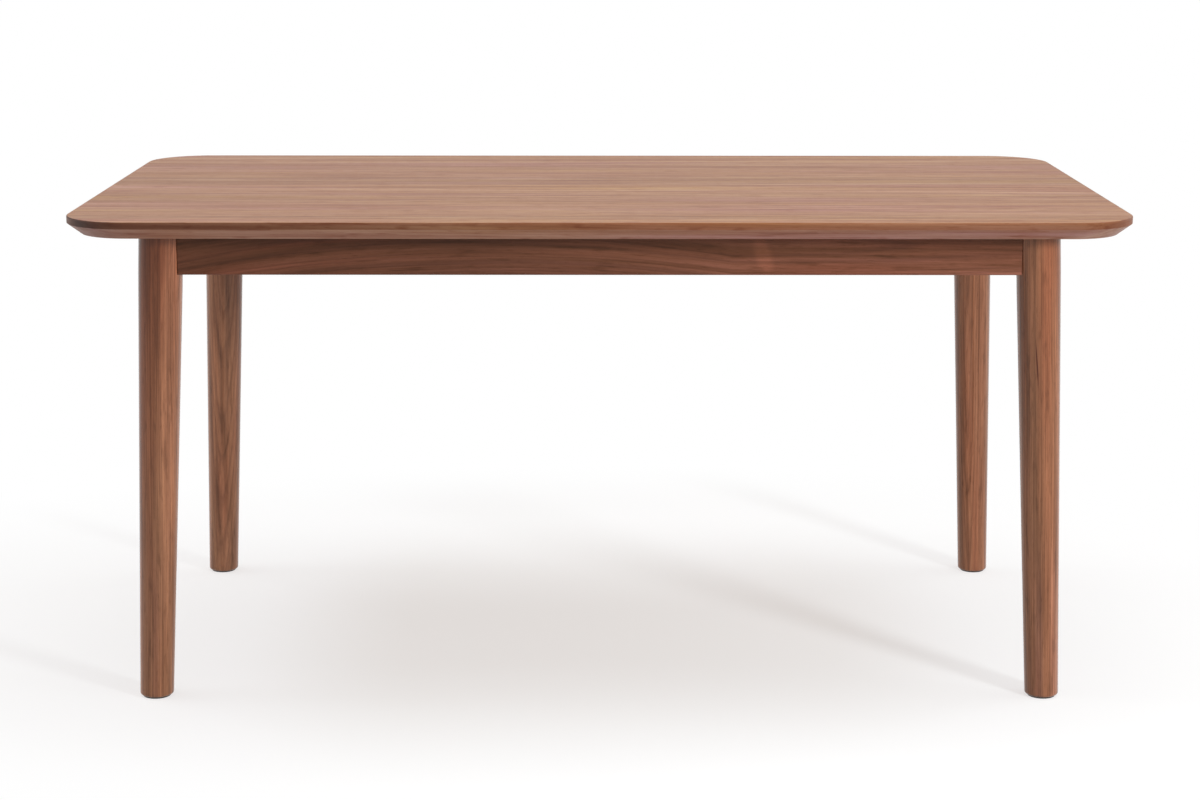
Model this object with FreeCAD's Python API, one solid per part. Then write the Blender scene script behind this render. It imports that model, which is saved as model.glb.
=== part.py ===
import FreeCAD, Part
import math
import os

# Dining table: a bevelled top of edge-glued boards on four splayed round legs.
# Millimetres. X runs along the length, the front is -Y, Z is up, the floor is Z = 0.
# The origin is on the floor under the middle of the top.

# Whole table
table_length = 1600.0
table_width = 900.0
table_height = 755.0

# Top
top_thickness = 27.0
edge_band = 10.5             # upright part of the edge, above the bevel
bevel_inset = 21.5           # how far the underside stands back from the edge
top_corner_radius = 100.0
top_arris = 1.5              # rounding of the upper edge
board_width_shares = (74.0, 155.0, 126.0, 103.0, 112.0, 108.0, 99.0, 123.0)

# Legs, measured from their axis at the underside of the top
leg_setback_end = 136.0      # leg axis to the end of the top
leg_setback_side = 119.0     # leg axis to the long side of the top
leg_top_radius = 33.5
leg_foot_radius = 26.0
leg_splay = 2.12             # degrees outwards, both along and across the table
leg_flat_distance = 25.7     # leg axis to each flat that takes an apron end
leg_inner_flat_distance = 29.0
foot_round = 4.0

# Aprons
apron_height = 66.0
apron_thickness = 22.0
apron_setback = 0.8          # apron face behind the front edge of the leg's flat
apron_ease = 1.2             # eased lower edges and ends

# Dowels between apron ends and legs
dowel_radius = 4.0
dowel_length = 30.0
dowel_spacing = 30.0

# Corner blocks
block_thickness = 28.0
block_height = 50.0
block_drop = 4.0             # space between the block and the top
block_draw_gap = 1.0         # lets the bolts pull the leg tight on the aprons
block_screw_share = 0.55     # place of the screws along the block's end
block_screw_seat = 9.0       # wood left under the screw heads
pocket_margin = 1.5          # around the screw head

# Hanger bolts, washers and nuts
bolt_radius = 4.0
bolt_grip = 40.0             # length held in the leg
bolt_spacing = 24.0
bolt_end = 5.0               # length past the nut
bolt_tip = 5.0
bolt_tip_radius = 1.0
washer_radius = 12.0
washer_thickness = 1.6
nut_across_flats = 13.0
nut_height = 6.5

# Wood screws
screw_radius = 2.0
screw_head_radius = 4.0
screw_head_top_radius = 3.1
screw_head_height = 2.6
screw_tip = 4.0
block_screw_length = 26.0
top_screw_grip = 14.0        # length held in the top

# Cross rails
rail_offset = 300.0          # from the middle of the table
rail_width = 60.0
rail_height = 32.0
rail_edge_round = 3.0
tenon_length = 8.0
tenon_shoulder = 8.0
rail_slot_shares = (-0.32, 0.0, 0.32)
slot_length = 16.0
rail_recess_depth = 18.0
rail_recess_margin = 1.5     # around the washer
rail_washer_radius = 6.0
rail_washer_thickness = 1.2

# Steel clips that hold the top
clip_width = 20.0
clip_thickness = 1.6
clip_tongue = 7.0            # length inside the apron
clip_reach = 10.0            # apron face to the clip's riser
clip_flange = 22.0           # riser to the end of the flange
clip_drop = 12.0             # tongue below the underside of the top
clip_bend = 1.0              # rounding of the corners of the sheet
long_clip_shares = (-0.39, -0.11, 0.11, 0.39)
end_clip_shares = (-0.25, 0.25)

# Foot glides
glide_radius = 21.5
glide_thickness = 2.5
glide_ease = 0.5
nail_radius = 1.2
nail_head_radius = 4.0
nail_head_height = 0.8
nail_recess = 0.9            # nail head above the floor
nail_length = 18.0

# Fits
fit_gap = 0.15               # between a round or a tenon and its hole
cut_overrun = 5.0            # cutting shapes run past the wood by this
same_place = 0.001           # two heights closer than this are the same

# Places worked out from the sizes above
underside_z = table_height - top_thickness
bevel_top_z = table_height - edge_band
apron_bottom_z = underside_z - apron_height
leg_x = leg_setback_end - table_length / 2
leg_y = leg_setback_side - table_width / 2
splay_slope = math.tan(math.radians(leg_splay))
long_apron_end_x = leg_x + leg_flat_distance
end_apron_end_y = leg_y + leg_flat_distance
flat_half_width = math.sqrt(leg_top_radius ** 2 - leg_flat_distance ** 2)
apron_face_reach = flat_half_width - apron_setback
apron_front_y = leg_y - apron_face_reach
apron_inner_y = apron_front_y + apron_thickness
apron_left_x = leg_x - apron_face_reach
apron_inner_x = apron_left_x + apron_thickness
block_top_z = underside_z - block_drop
block_middle_z = block_top_z - block_height / 2
apron_middle_z = underside_z - apron_height / 2
clip_top_z = underside_z - clip_drop

up = FreeCAD.Vector(0, 0, 1)
along = FreeCAD.Vector(1, 0, 0)
across = FreeCAD.Vector(0, 1, 0)
inward = FreeCAD.Vector(1, 1, 0).normalize()
origin = FreeCAD.Vector(0, 0, 0)

corners = {
    "front_left": (False, False),
    "front_right": (True, False),
    "back_left": (False, True),
    "back_right": (True, True),
}


def block_between(x_low, x_high, y_low, y_high, z_low, z_high):
    low = FreeCAD.Vector(x_low, y_low, z_low)
    return Part.makeBox(x_high - x_low, y_high - y_low, z_high - z_low, low)


def prism(points, direction):
    outline = Part.makePolygon(points + [points[0]])
    return Part.Face(outline).extrude(direction)


def mirrored(shape, flip_x, flip_y):
    if flip_x:
        shape = shape.mirror(origin, along)
    if flip_y:
        shape = shape.mirror(origin, across)
    return shape


def in_all_corners(shapes):
    return [mirrored(shape, *flips) for flips in corners.values() for shape in shapes]


def level_edges(shape, z):
    return [
        edge
        for edge in shape.Edges
        if abs(edge.BoundBox.ZMin - z) < same_place and abs(edge.BoundBox.ZMax - z) < same_place
    ]


def rounded_rectangle(length, width, radius, z):
    edges = []
    reach_x = length / 2 - radius
    reach_y = width / 2 - radius
    centres = ((reach_x, reach_y), (-reach_x, reach_y), (-reach_x, -reach_y), (reach_x, -reach_y))
    arcs = []
    for quarter, (x, y) in enumerate(centres):
        centre = FreeCAD.Vector(x, y, z)
        arcs.append(Part.makeCircle(radius, centre, up, quarter * 90, quarter * 90 + 90))
    for arc, following in zip(arcs, arcs[1:] + arcs[:1]):
        edges.append(arc)
        start = arc.valueAt(arc.LastParameter)
        end = following.valueAt(following.FirstParameter)
        edges.append(Part.makeLine(start, end))
    return Part.Wire(edges)


# Screws and bolts. Each stands on a point and runs in a direction.

def make_screw(seat, direction, length):
    shank = Part.makeCylinder(screw_radius, length - screw_tip, seat, direction)
    tip_start = seat + direction * (length - screw_tip)
    tip = Part.makeCone(screw_radius, 0, screw_tip, tip_start, direction)
    head = Part.makeCone(screw_head_radius, screw_head_top_radius, screw_head_height, seat, -direction)
    return head.fuse([shank, tip]).removeSplitter()


def make_screw_hole(seat, direction, length):
    radius = screw_radius + fit_gap
    start = seat - direction * cut_overrun
    return Part.makeCylinder(radius, length + fit_gap + cut_overrun, start, direction)


def make_washer(centre, direction, outer, inner, thickness):
    ring = Part.makeCylinder(outer, thickness, centre, direction)
    hole = Part.makeCylinder(inner, thickness, centre, direction)
    return ring.cut(hole)


def make_nut(centre, direction):
    corner_radius = nut_across_flats / math.sqrt(3)
    side = up.cross(direction)
    points = []
    for turn in range(6):
        angle = math.radians(turn * 60)
        points.append(centre + side * corner_radius * math.cos(angle) + up * corner_radius * math.sin(angle))
    body = prism(points, direction * nut_height)
    rounding = Part.makeCylinder(corner_radius, nut_height, centre, direction)
    chamfer = corner_radius - nut_across_flats / 2
    rounding = rounding.makeChamfer(chamfer, [edge for edge in rounding.Edges if edge.Closed])
    bore = Part.makeCylinder(bolt_radius + fit_gap, nut_height, centre, direction)
    return body.common(rounding).cut(bore)


# Top

def long_clip_places():
    span = -2 * long_apron_end_x
    return [span * share for share in long_clip_shares]


def end_clip_places():
    span = -2 * end_apron_end_y
    return [span * share for share in end_clip_shares]


def rail_slot_places():
    span = -2 * apron_inner_y
    return [span * share for share in rail_slot_shares]


def clip_screw_spots():
    distance = clip_reach + (clip_thickness + clip_flange) / 2
    spots = []
    for x in long_clip_places():
        for y in (apron_inner_y + distance, -apron_inner_y - distance):
            spots.append(FreeCAD.Vector(x, y, underside_z - clip_thickness))
    for y in end_clip_places():
        for x in (apron_inner_x + distance, -apron_inner_x - distance):
            spots.append(FreeCAD.Vector(x, y, underside_z - clip_thickness))
    return spots


def rail_screw_spots():
    seat_z = underside_z - rail_height + rail_recess_depth - rail_washer_thickness
    return [
        FreeCAD.Vector(x, y, seat_z)
        for x in (-rail_offset, rail_offset)
        for y in rail_slot_places()
    ]


def top_screw_length(spot):
    return underside_z - spot.z + top_screw_grip


def make_top_panel():
    outline = rounded_rectangle(table_length, table_width, top_corner_radius, bevel_top_z)
    band = Part.Face(outline).extrude(up * edge_band)
    band = band.makeFillet(top_arris, level_edges(band, table_height))
    lower_outline = rounded_rectangle(
        table_length - 2 * bevel_inset,
        table_width - 2 * bevel_inset,
        top_corner_radius - bevel_inset,
        underside_z,
    )
    bevel = Part.makeLoft([lower_outline, outline], True, True)
    panel = band.fuse(bevel).removeSplitter()
    holes = [make_screw_hole(spot, up, top_screw_length(spot)) for spot in clip_screw_spots()]
    holes += [make_screw_hole(spot, up, top_screw_length(spot)) for spot in rail_screw_spots()]
    return panel.cut(holes)


def make_top_boards():
    panel = make_top_panel()
    reach = table_length / 2 + cut_overrun
    total = sum(board_width_shares)
    boards = []
    front = -table_width / 2
    for share in board_width_shares:
        back = front + table_width * share / total
        slice_box = block_between(-reach, reach, front, back, underside_z - cut_overrun, table_height + cut_overrun)
        boards.append(panel.common(slice_box))
        front = back
    return boards


# Legs, made for the front left corner

def leg_point(z):
    drop = (underside_z - z) * splay_slope
    return FreeCAD.Vector(leg_x - drop, leg_y - drop, z)


def make_turned_leg():
    lean = FreeCAD.Vector(-splay_slope, -splay_slope, -1)
    stretch = lean.Length
    straight = apron_height * stretch
    length = (underside_z - glide_thickness) * stretch
    narrowing = (leg_top_radius - leg_foot_radius) / (length - straight)
    end_radius = leg_foot_radius - narrowing * cut_overrun
    end = -length - cut_overrun
    points = [
        FreeCAD.Vector(0, 0, end),
        FreeCAD.Vector(end_radius, 0, end),
        FreeCAD.Vector(leg_top_radius, 0, -straight),
        FreeCAD.Vector(leg_top_radius, 0, cut_overrun),
        FreeCAD.Vector(0, 0, cut_overrun),
    ]
    blank = Part.Face(Part.makePolygon(points + [points[0]])).revolve(origin, up, 360)
    blank.Placement = FreeCAD.Placement(leg_point(underside_z), FreeCAD.Rotation(-up, lean))
    reach = 2 * leg_top_radius
    foot = leg_point(glide_thickness)
    level = block_between(foot.x - reach, leg_x + reach, foot.y - reach, leg_y + reach, glide_thickness, underside_z)
    leg = blank.common(level)
    return leg.makeFillet(foot_round, level_edges(leg, glide_thickness))


def make_leg_joint_cuts():
    reach = 2 * leg_top_radius
    top = underside_z + cut_overrun
    long_flat = block_between(long_apron_end_x, leg_x + reach, leg_y - reach, leg_y + reach, apron_bottom_z, top)
    end_flat = block_between(leg_x - reach, leg_x + reach, end_apron_end_y, leg_y + reach, apron_bottom_z, top)
    side = across - along
    foot_of_plane = FreeCAD.Vector(leg_x, leg_y, apron_bottom_z) + inward * leg_inner_flat_distance
    plane_points = [
        foot_of_plane - side * reach,
        foot_of_plane + side * reach,
        foot_of_plane + side * reach + inward * reach,
        foot_of_plane - side * reach + inward * reach,
    ]
    inner_flat = prism(plane_points, up * (top - apron_bottom_z))
    return [long_flat, end_flat, inner_flat]


def make_leg():
    holes = [make_round(*place, radius=dowel_radius + fit_gap) for place in dowel_places()]
    holes += [make_bolt_hole(z) for z in bolt_heights()]
    holes.append(make_nail_hole())
    return make_turned_leg().cut(make_leg_joint_cuts() + holes)


# Dowels, for the front left corner: where each one starts, its direction and its length

def dowel_places():
    depth = apron_thickness / 2
    places = []
    for z in (apron_middle_z - dowel_spacing / 2, apron_middle_z + dowel_spacing / 2):
        long_start = FreeCAD.Vector(long_apron_end_x - dowel_length / 2, apron_front_y + depth, z)
        end_start = FreeCAD.Vector(apron_left_x + depth, end_apron_end_y - dowel_length / 2, z)
        places.append((long_start, along, dowel_length))
        places.append((end_start, across, dowel_length))
    return places


def make_round(start, direction, length, radius):
    return Part.makeCylinder(radius, length, start, direction)


def make_dowel(start, direction, length):
    dowel = Part.makeCylinder(dowel_radius, length, start, direction)
    ends = [edge for edge in dowel.Edges if edge.Closed]
    return dowel.makeChamfer(dowel_radius / 4, ends)


# Aprons

def make_clip_slot(x_low, x_high, y_low, y_high):
    return block_between(x_low, x_high, y_low, y_high, clip_top_z - clip_thickness - fit_gap, clip_top_z + fit_gap)


def make_front_apron():
    end = -long_apron_end_x
    apron = block_between(-end, end, apron_front_y, apron_inner_y, apron_bottom_z, underside_z)
    eased = [
        edge
        for edge in apron.Edges
        if (abs(edge.CenterOfMass.z - apron_bottom_z) < same_place and abs(edge.CenterOfMass.x) < same_place)
        or (abs(edge.CenterOfMass.y - apron_front_y) < same_place and abs(edge.CenterOfMass.x) > same_place)
    ]
    apron = apron.makeChamfer(apron_ease, eased)
    cuts = []
    half_clip = clip_width / 2 + fit_gap
    depth = clip_tongue + fit_gap
    for x in long_clip_places():
        cuts.append(make_clip_slot(x - half_clip, x + half_clip, apron_inner_y - depth, apron_inner_y + cut_overrun))
    for x in (-rail_offset, rail_offset):
        cuts.append(make_tenon(x, fit_gap))
    for start, direction, length in dowel_places():
        if direction == along:
            hole = make_round(start, direction, length, dowel_radius + fit_gap)
            cuts += [hole, mirrored(hole, True, False)]
    return apron.cut(cuts + make_block_screw_holes(along_apron=True))


def make_left_apron():
    end = -end_apron_end_y
    apron = block_between(apron_left_x, apron_inner_x, -end, end, apron_bottom_z, underside_z)
    eased = [
        edge
        for edge in apron.Edges
        if (abs(edge.CenterOfMass.z - apron_bottom_z) < same_place and abs(edge.CenterOfMass.y) < same_place)
        or (abs(edge.CenterOfMass.x - apron_left_x) < same_place and abs(edge.CenterOfMass.y) > same_place)
    ]
    apron = apron.makeChamfer(apron_ease, eased)
    cuts = []
    half_clip = clip_width / 2 + fit_gap
    depth = clip_tongue + fit_gap
    for y in end_clip_places():
        cuts.append(make_clip_slot(apron_inner_x - depth, apron_inner_x + cut_overrun, y - half_clip, y + half_clip))
    for start, direction, length in dowel_places():
        if direction == across:
            hole = make_round(start, direction, length, dowel_radius + fit_gap)
            cuts += [hole, mirrored(hole, False, True)]
    return apron.cut(cuts + make_block_screw_holes(along_apron=False))


# Corner blocks and their screws, for the front left corner

def block_faces():
    near = leg_inner_flat_distance + block_draw_gap
    return near, near + block_thickness


def block_outline_points():
    # Where the two slanted faces meet the inner faces of the aprons.
    near, far = block_faces()
    points = []
    for distance in (near, far):
        reach = distance * math.sqrt(2)
        on_long = FreeCAD.Vector(leg_x + reach - (apron_inner_y - leg_y), apron_inner_y, block_top_z - block_height)
        on_end = FreeCAD.Vector(apron_inner_x, leg_y + reach - (apron_inner_x - leg_x), block_top_z - block_height)
        points.append((on_long, on_end))
    return points


def block_screw_seats():
    # Places on the head seats, with the direction of the screws: into the long apron, then the end apron.
    (near_long, near_end), (far_long, far_end) = block_outline_points()
    x = near_long.x + (far_long.x - near_long.x) * block_screw_share
    y = near_end.y + (far_end.y - near_end.y) * block_screw_share
    seats = []
    for z in bolt_heights():
        seats.append((FreeCAD.Vector(x, apron_inner_y + block_screw_seat, z), -across))
        seats.append((FreeCAD.Vector(apron_inner_x + block_screw_seat, y, z), -along))
    return seats


def make_block_screw_holes(along_apron):
    direction_wanted = -across if along_apron else -along
    holes = []
    for seat, direction in block_screw_seats():
        if direction == direction_wanted:
            hole = make_screw_hole(seat, direction, block_screw_length)
            holes += [hole, mirrored(hole, along_apron, not along_apron)]
    return holes


def make_corner_block():
    (near_long, near_end), (far_long, far_end) = block_outline_points()
    block = prism([near_long, far_long, far_end, near_end], up * block_height)
    cuts = [make_bolt_hole(z) for z in bolt_heights()]
    for seat, direction in block_screw_seats():
        cuts.append(make_screw_hole(seat, direction, block_screw_length))
        pocket_radius = screw_head_radius + pocket_margin
        cuts.append(Part.makeCylinder(pocket_radius, block_thickness * 2, seat, -direction))
    return block.cut(cuts)


# Hanger bolts, for the front left corner

def bolt_heights():
    return (block_middle_z - bolt_spacing / 2, block_middle_z + bolt_spacing / 2)


def bolt_point(distance, z):
    return FreeCAD.Vector(leg_x, leg_y, z) + inward * distance


def bolt_length():
    near, far = block_faces()
    return bolt_grip + far - leg_inner_flat_distance + washer_thickness + nut_height + bolt_end


def make_bolt_hole(z):
    start = bolt_point(leg_inner_flat_distance - bolt_grip - fit_gap, z)
    return Part.makeCylinder(bolt_radius + fit_gap, bolt_length() + cut_overrun, start, inward)


def make_hanger_bolt(z):
    start = bolt_point(leg_inner_flat_distance - bolt_grip, z)
    tip = Part.makeCone(bolt_tip_radius, bolt_radius, bolt_tip, start, inward)
    shank = Part.makeCylinder(bolt_radius, bolt_length() - bolt_tip, start + inward * bolt_tip, inward)
    far_end = start + inward * bolt_length()
    rim = [edge for edge in shank.Edges if edge.Closed and edge.CenterOfMass.distanceToPoint(far_end) < same_place]
    shank = shank.makeChamfer(bolt_radius / 5, rim)
    return shank.fuse(tip).removeSplitter()


def make_bolt_washer(z):
    near, far = block_faces()
    return make_washer(bolt_point(far, z), inward, washer_radius, bolt_radius + fit_gap, washer_thickness)


def make_bolt_nut(z):
    near, far = block_faces()
    return make_nut(bolt_point(far + washer_thickness, z), inward)


# Cross rails

def make_tenon(x, gap):
    half_width = rail_width / 2 - tenon_shoulder + gap
    bottom = underside_z - rail_height + tenon_shoulder - gap
    top = underside_z - tenon_shoulder + gap
    front = apron_inner_y - tenon_length - gap
    return block_between(x - half_width, x + half_width, front, apron_inner_y + gap + cut_overrun, bottom, top)


def make_slot(x, y, width, length, bottom, top):
    straight = length - width
    centre = block_between(x - width / 2, x + width / 2, y - straight / 2, y + straight / 2, bottom, top)
    ends = [
        Part.makeCylinder(width / 2, top - bottom, FreeCAD.Vector(x, y + side * straight / 2, bottom), up)
        for side in (-1, 1)
    ]
    return centre.fuse(ends).removeSplitter()


def make_cross_rail(x):
    half = rail_width / 2
    bottom = underside_z - rail_height
    body = block_between(x - half, x + half, apron_inner_y, -apron_inner_y, bottom, underside_z)
    rounded = [edge for edge in level_edges(body, bottom) if abs(edge.CenterOfMass.y) < same_place]
    body = body.makeFillet(rail_edge_round, rounded)
    tenon = make_tenon(x, 0)
    rail = body.fuse([tenon, mirrored(tenon, False, True)]).removeSplitter()
    recess_width = 2 * (rail_washer_radius + rail_recess_margin)
    slot_width = 2 * (screw_radius + fit_gap)
    travel = slot_length - slot_width
    cuts = []
    for y in rail_slot_places():
        cuts.append(make_slot(x, y, slot_width, slot_length, bottom, underside_z + cut_overrun))
        recess_top = bottom + rail_recess_depth
        cuts.append(make_slot(x, y, recess_width, recess_width + travel, bottom - cut_overrun, recess_top))
    return rail.cut(cuts)


# Clips: one at the middle of the front apron, moved or turned to each place

def make_front_clip():
    low = clip_top_z - clip_thickness
    high = underside_z - clip_thickness
    points = [
        FreeCAD.Vector(0, -clip_tongue, low),
        FreeCAD.Vector(0, clip_reach + clip_thickness, low),
        FreeCAD.Vector(0, clip_reach + clip_thickness, high),
        FreeCAD.Vector(0, clip_reach + clip_thickness + clip_flange, high),
        FreeCAD.Vector(0, clip_reach + clip_thickness + clip_flange, underside_z),
        FreeCAD.Vector(0, clip_reach, underside_z),
        FreeCAD.Vector(0, clip_reach, clip_top_z),
        FreeCAD.Vector(0, -clip_tongue, clip_top_z),
    ]
    sheet = prism(points, along * clip_width)
    sheet.translate(along * (-clip_width / 2))
    bends = [
        edge
        for edge in sheet.Edges
        if abs(edge.Length - clip_width) < same_place
        and abs(edge.CenterOfMass.y - clip_reach) < same_place
        and abs(edge.CenterOfMass.z - underside_z) < same_place
    ]
    sheet = sheet.makeFillet(clip_bend, bends)
    centre_y = clip_reach + (clip_thickness + clip_flange) / 2
    start = FreeCAD.Vector(0, centre_y, high - cut_overrun)
    hole = Part.makeCylinder(screw_radius + fit_gap, clip_drop + cut_overrun, start, up)
    return sheet.cut(hole)


def make_clips():
    clips = []
    for x in long_clip_places():
        clip = make_front_clip()
        clip.translate(FreeCAD.Vector(x, apron_inner_y, 0))
        clips += [clip, mirrored(clip, False, True)]
    for y in end_clip_places():
        clip = make_front_clip()
        clip.rotate(origin, up, -90)
        clip.translate(FreeCAD.Vector(apron_inner_x, y, 0))
        clips += [clip, mirrored(clip, True, False)]
    return clips


# Glides and their nails, for the front left corner

def make_nail_hole():
    foot = leg_point(glide_thickness)
    start = FreeCAD.Vector(foot.x, foot.y, 0)
    return Part.makeCylinder(nail_radius + fit_gap, nail_recess + nail_head_height + nail_length, start, up)


def make_glide():
    foot = leg_point(glide_thickness)
    base = FreeCAD.Vector(foot.x, foot.y, 0)
    disc = Part.makeCylinder(glide_radius, glide_thickness, base, up)
    disc = disc.makeChamfer(glide_ease, level_edges(disc, 0))
    recess = Part.makeCylinder(nail_head_radius + fit_gap, nail_recess + nail_head_height, base, up)
    return disc.cut([recess, make_nail_hole()])


def make_nail():
    foot = leg_point(glide_thickness)
    base = FreeCAD.Vector(foot.x, foot.y, nail_recess)
    head = Part.makeCylinder(nail_head_radius, nail_head_height, base, up)
    shank = Part.makeCylinder(nail_radius, nail_head_height + nail_length - fit_gap, base, up)
    return head.fuse(shank).removeSplitter()


# The named pieces

def collect_pieces():
    pieces = {}
    for number, board in enumerate(make_top_boards(), start=1):
        pieces[f"top_board_{number}"] = board
    leg = make_leg()
    block = make_corner_block()
    glide = make_glide()
    for name, flips in corners.items():
        pieces[f"leg_{name}"] = mirrored(leg, *flips)
        pieces[f"corner_block_{name}"] = mirrored(block, *flips)
        pieces[f"foot_glide_{name}"] = mirrored(glide, *flips)
    front_apron = make_front_apron()
    left_apron = make_left_apron()
    pieces["apron_front"] = front_apron
    pieces["apron_back"] = mirrored(front_apron, False, True)
    pieces["apron_left"] = left_apron
    pieces["apron_right"] = mirrored(left_apron, True, False)
    pieces["cross_rail_left"] = make_cross_rail(-rail_offset)
    pieces["cross_rail_right"] = make_cross_rail(rail_offset)
    groups = {
        "apron_dowels": in_all_corners([make_dowel(*place) for place in dowel_places()]),
        "hanger_bolts": in_all_corners([make_hanger_bolt(z) for z in bolt_heights()]),
        "bolt_washers": in_all_corners([make_bolt_washer(z) for z in bolt_heights()]),
        "bolt_nuts": in_all_corners([make_bolt_nut(z) for z in bolt_heights()]),
        "corner_block_screws": in_all_corners([make_screw(*seat, block_screw_length) for seat in block_screw_seats()]),
        "top_clips": make_clips(),
        "top_clip_screws": [make_screw(spot, up, top_screw_length(spot)) for spot in clip_screw_spots()],
        "rail_screws": [make_screw(spot, up, top_screw_length(spot)) for spot in rail_screw_spots()],
        "rail_washers": [
            make_washer(spot, up, rail_washer_radius, screw_radius + fit_gap, rail_washer_thickness)
            for spot in rail_screw_spots()
        ],
        "glide_nails": in_all_corners([make_nail()]),
    }
    for name, shapes in groups.items():
        pieces[name] = Part.makeCompound(shapes)
    return pieces


def main():
    os.makedirs("parts", exist_ok=True)
    for name, shape in collect_pieces().items():
        shape.exportStep(f"parts/{name}.step")
        print(name, "solids", len(shape.Solids), "volume", round(shape.Volume), "valid", shape.isValid())


main()
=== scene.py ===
import math

import bmesh
import bpy
import numpy
from mathutils import Matrix, Vector


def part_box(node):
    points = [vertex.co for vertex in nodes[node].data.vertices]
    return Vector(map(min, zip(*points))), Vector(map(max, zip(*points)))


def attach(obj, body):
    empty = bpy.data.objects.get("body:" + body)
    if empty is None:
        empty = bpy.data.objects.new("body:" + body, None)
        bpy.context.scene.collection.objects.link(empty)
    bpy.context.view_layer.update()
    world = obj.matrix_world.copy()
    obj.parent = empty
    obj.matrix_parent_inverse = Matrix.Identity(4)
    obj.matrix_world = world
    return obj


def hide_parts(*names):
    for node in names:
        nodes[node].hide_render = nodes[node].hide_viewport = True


# Walnut dining table: eight glued boards on four splayed round legs
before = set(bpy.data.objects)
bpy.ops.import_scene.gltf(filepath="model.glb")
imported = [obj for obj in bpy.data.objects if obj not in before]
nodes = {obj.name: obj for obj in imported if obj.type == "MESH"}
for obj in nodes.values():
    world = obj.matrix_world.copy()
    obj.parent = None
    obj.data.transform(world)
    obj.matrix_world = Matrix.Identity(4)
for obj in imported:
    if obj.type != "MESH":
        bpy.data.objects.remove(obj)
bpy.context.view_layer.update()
corners = ("front_left", "front_right", "back_left", "back_right")
bodyName = "root"
white = (1.0, 1.0, 1.0, 1.0)


# Small helpers for the node trees and objects

def addNode(tree, kind, settings, inputs):
    node = tree.nodes.new(kind)
    for name, value in settings.items():
        setattr(node, name, value)
    for key, value in inputs.items():
        if isinstance(value, bpy.types.NodeSocket):
            tree.links.new(value, node.inputs[key])
        else:
            node.inputs[key].default_value = value
    return node


def math1(tree, operation, a, b=0.0, c=0.0):
    return addNode(tree, "ShaderNodeMath", {"operation": operation}, {0: a, 1: b, 2: c}).outputs[0]


def product(tree, a, b):
    return math1(tree, "MULTIPLY", a, b)


def total(tree, a, b):
    return math1(tree, "ADD", a, b)


def difference(tree, a, b):
    return math1(tree, "SUBTRACT", a, b)


def towards(tree, share, value, goal):
    # the value, moved by a share of its way to the goal
    return math1(tree, "MULTIPLY_ADD", share, difference(tree, goal, value), value)


def vectorMath(tree, operation, inputs, result="Vector"):
    return addNode(tree, "ShaderNodeVectorMath", {"operation": operation}, inputs).outputs[result]


def axesOf(tree, vector):
    return addNode(tree, "ShaderNodeSeparateXYZ", {}, {0: vector}).outputs


def point(tree, x, y, z):
    return addNode(tree, "ShaderNodeCombineXYZ", {}, {"X": x, "Y": y, "Z": z}).outputs[0]


def noise(tree, vector, scale, detail=2.0, roughness=0.5):
    inputs = {"Vector": vector, "Scale": scale, "Detail": detail, "Roughness": roughness}
    return addNode(tree, "ShaderNodeTexNoise", {"noise_dimensions": "3D"}, inputs)


def stretched(tree, vector, along, across):
    # the grain runs along X of the vector, so a fibre is long in X and thin in Y and Z
    inputs = {"Vector": vector, "Scale": (along, across, across)}
    return addNode(tree, "ShaderNodeMapping", {}, inputs).outputs["Vector"]


def toRange(tree, value, low, high, newLow, newHigh, smooth=False):
    settings = {"interpolation_type": "SMOOTHSTEP" if smooth else "LINEAR"}
    inputs = {"Value": value, 1: low, 2: high, 3: newLow, 4: newHigh}
    return addNode(tree, "ShaderNodeMapRange", settings, inputs).outputs[0]


def fadeIn(tree, value, limits, most=1.0):
    # nothing at the first limit and most at the second, with soft ends
    return toRange(tree, value, limits[0], limits[1], 0.0, most, smooth=True)


def mixColour(tree, factor, a, b, blend="MIX"):
    settings = {"data_type": "RGBA", "blend_type": blend}
    return addNode(tree, "ShaderNodeMix", settings, {0: factor, 6: a, 7: b}).outputs[2]


def tinted(tree, colour, shade):
    return mixColour(tree, 1.0, colour, shade, "MULTIPLY")


def opaque(colour, tone=1.0):
    return (colour[0] * tone, colour[1] * tone, colour[2] * tone, 1.0)


def ramp(tree, value, stops, tone=1.0):
    node = addNode(tree, "ShaderNodeValToRGB", {}, {"Fac": value})
    elements = node.color_ramp.elements
    while len(elements) < len(stops):
        elements.new(0.5)
    for element, (place, colour) in zip(elements, stops):
        element.position = place
        element.color = opaque(colour, tone)
    return node.outputs["Color"]


def emptyTree(owner):
    owner.use_nodes = True
    owner.node_tree.nodes.clear()
    return owner.node_tree


def addObject(name, data):
    item = bpy.data.objects.new(name, data)
    bpy.context.scene.collection.objects.link(item)
    return item


def newMaterial(name):
    material = bpy.data.materials.new(name)
    tree = emptyTree(material)
    shader = addNode(tree, "ShaderNodeBsdfPrincipled", {}, {})
    addNode(tree, "ShaderNodeOutputMaterial", {}, {"Surface": shader.outputs["BSDF"]})
    return material, tree, shader


def coordinates(tree, kind="Object"):
    return addNode(tree, "ShaderNodeTexCoord", {}, {}).outputs[kind]


def localTo(tree, place, turn=(0.0, 0.0, 0.0), size=(1.0, 1.0, 1.0)):
    # coordinates counted from one place, along turned axes and in units of the size
    inputs = {"Vector": coordinates(tree), "Location": place, "Rotation": turn, "Scale": size}
    return addNode(tree, "ShaderNodeMapping", {"vector_type": "TEXTURE"}, inputs).outputs["Vector"]


def distanceFrom(tree, place, size, turn=(0.0, 0.0, 0.0)):
    return vectorMath(tree, "LENGTH", {0: localTo(tree, place, turn, size)}, "Value")


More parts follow.
